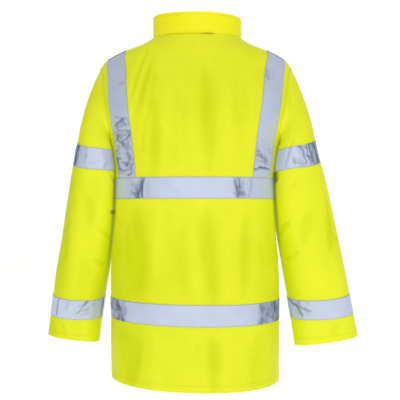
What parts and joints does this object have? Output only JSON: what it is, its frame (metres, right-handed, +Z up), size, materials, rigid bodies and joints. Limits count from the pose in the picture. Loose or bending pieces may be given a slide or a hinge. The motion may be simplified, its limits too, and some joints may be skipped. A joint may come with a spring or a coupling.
{
  "type": "hi-vis work jacket",
  "caption": "Thigh-length high-visibility work jacket, standing open and hollow as worn, with a stand collar, a front zip and reflective bands on the body, shoulders and sleeves.",
  "frame": {"origin": "midway between the two side neck points, where the collar meets the shoulder seams and a wearer's shoulders carry the jacket", "axes": "+Z up along the jacket, +X towards the wearer's left sleeve, the front with the zip faces -Y"},
  "size_m": [0.7854, 0.274, 0.8976],
  "materials": {
    "hivis_cloth": "coated woven polyester, fluorescent yellow, satin",
    "reflective_tape": "retroreflective glass bead tape, silver grey",
    "zip_plastic": "moulded zip with yellow tapes",
    "zip_metal": "plated die-cast zinc"
  },
  "bodies": {
    "jacket": {"back": "hivis_cloth", "front_left": "hivis_cloth", "front_right": "hivis_cloth", "sleeve_left": "hivis_cloth", "sleeve_right": "hivis_cloth", "collar": "hivis_cloth", "brace_left": "reflective_tape", "brace_right": "reflective_tape", "chest_tape_back": "reflective_tape", "chest_tape_front_left": "reflective_tape", "chest_tape_front_right": "reflective_tape", "hip_tape_back": "reflective_tape", "hip_tape_front_left": "reflective_tape", "hip_tape_front_right": "reflective_tape", "upper_tape_left": "reflective_tape", "upper_tape_right": "reflective_tape", "lower_tape_left": "reflective_tape", "lower_tape_right": "reflective_tape", "zip": "zip_plastic", "zip_slider": "zip_metal"},
    "pull_tab": {"zip_pull": "zip_metal"}
  },
  "joints": [
    {"name": "pull_tab_swing", "type": "hinge", "parent": "jacket", "child": "pull_tab", "pos_m": [-0.00158, -0.07678, -0.00547], "axis": [-1, 0, 0], "range_deg": [0, 170]}
  ]
}
